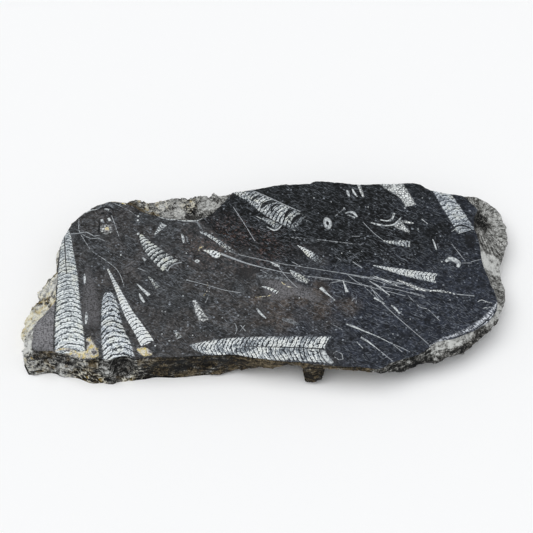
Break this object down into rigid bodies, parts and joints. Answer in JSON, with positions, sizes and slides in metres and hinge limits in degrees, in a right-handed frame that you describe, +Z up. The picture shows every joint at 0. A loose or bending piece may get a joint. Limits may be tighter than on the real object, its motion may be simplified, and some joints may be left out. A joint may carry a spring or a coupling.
{
  "type": "polished orthoceras fossil slab",
  "caption": "Free-form slab of black limestone with a rough natural rim, polished on top to show straight-shelled cephalopod fossils in white calcite.",
  "frame": {"origin": "centre of the slab's outline, on the flat underside", "axes": "+X along the slab's length, +Y from its front edge to its back edge, +Z up through the polished face"},
  "size_m": [0.6041, 0.3022, 0.042],
  "materials": {
    "polished_black_limestone": "black limestone with white calcite fossils, polished on top, broken and weathered on its rim, sawn underneath"
  },
  "bodies": {
    "root": {"fossil_slab": "polished_black_limestone"}
  },
  "joints": []
}
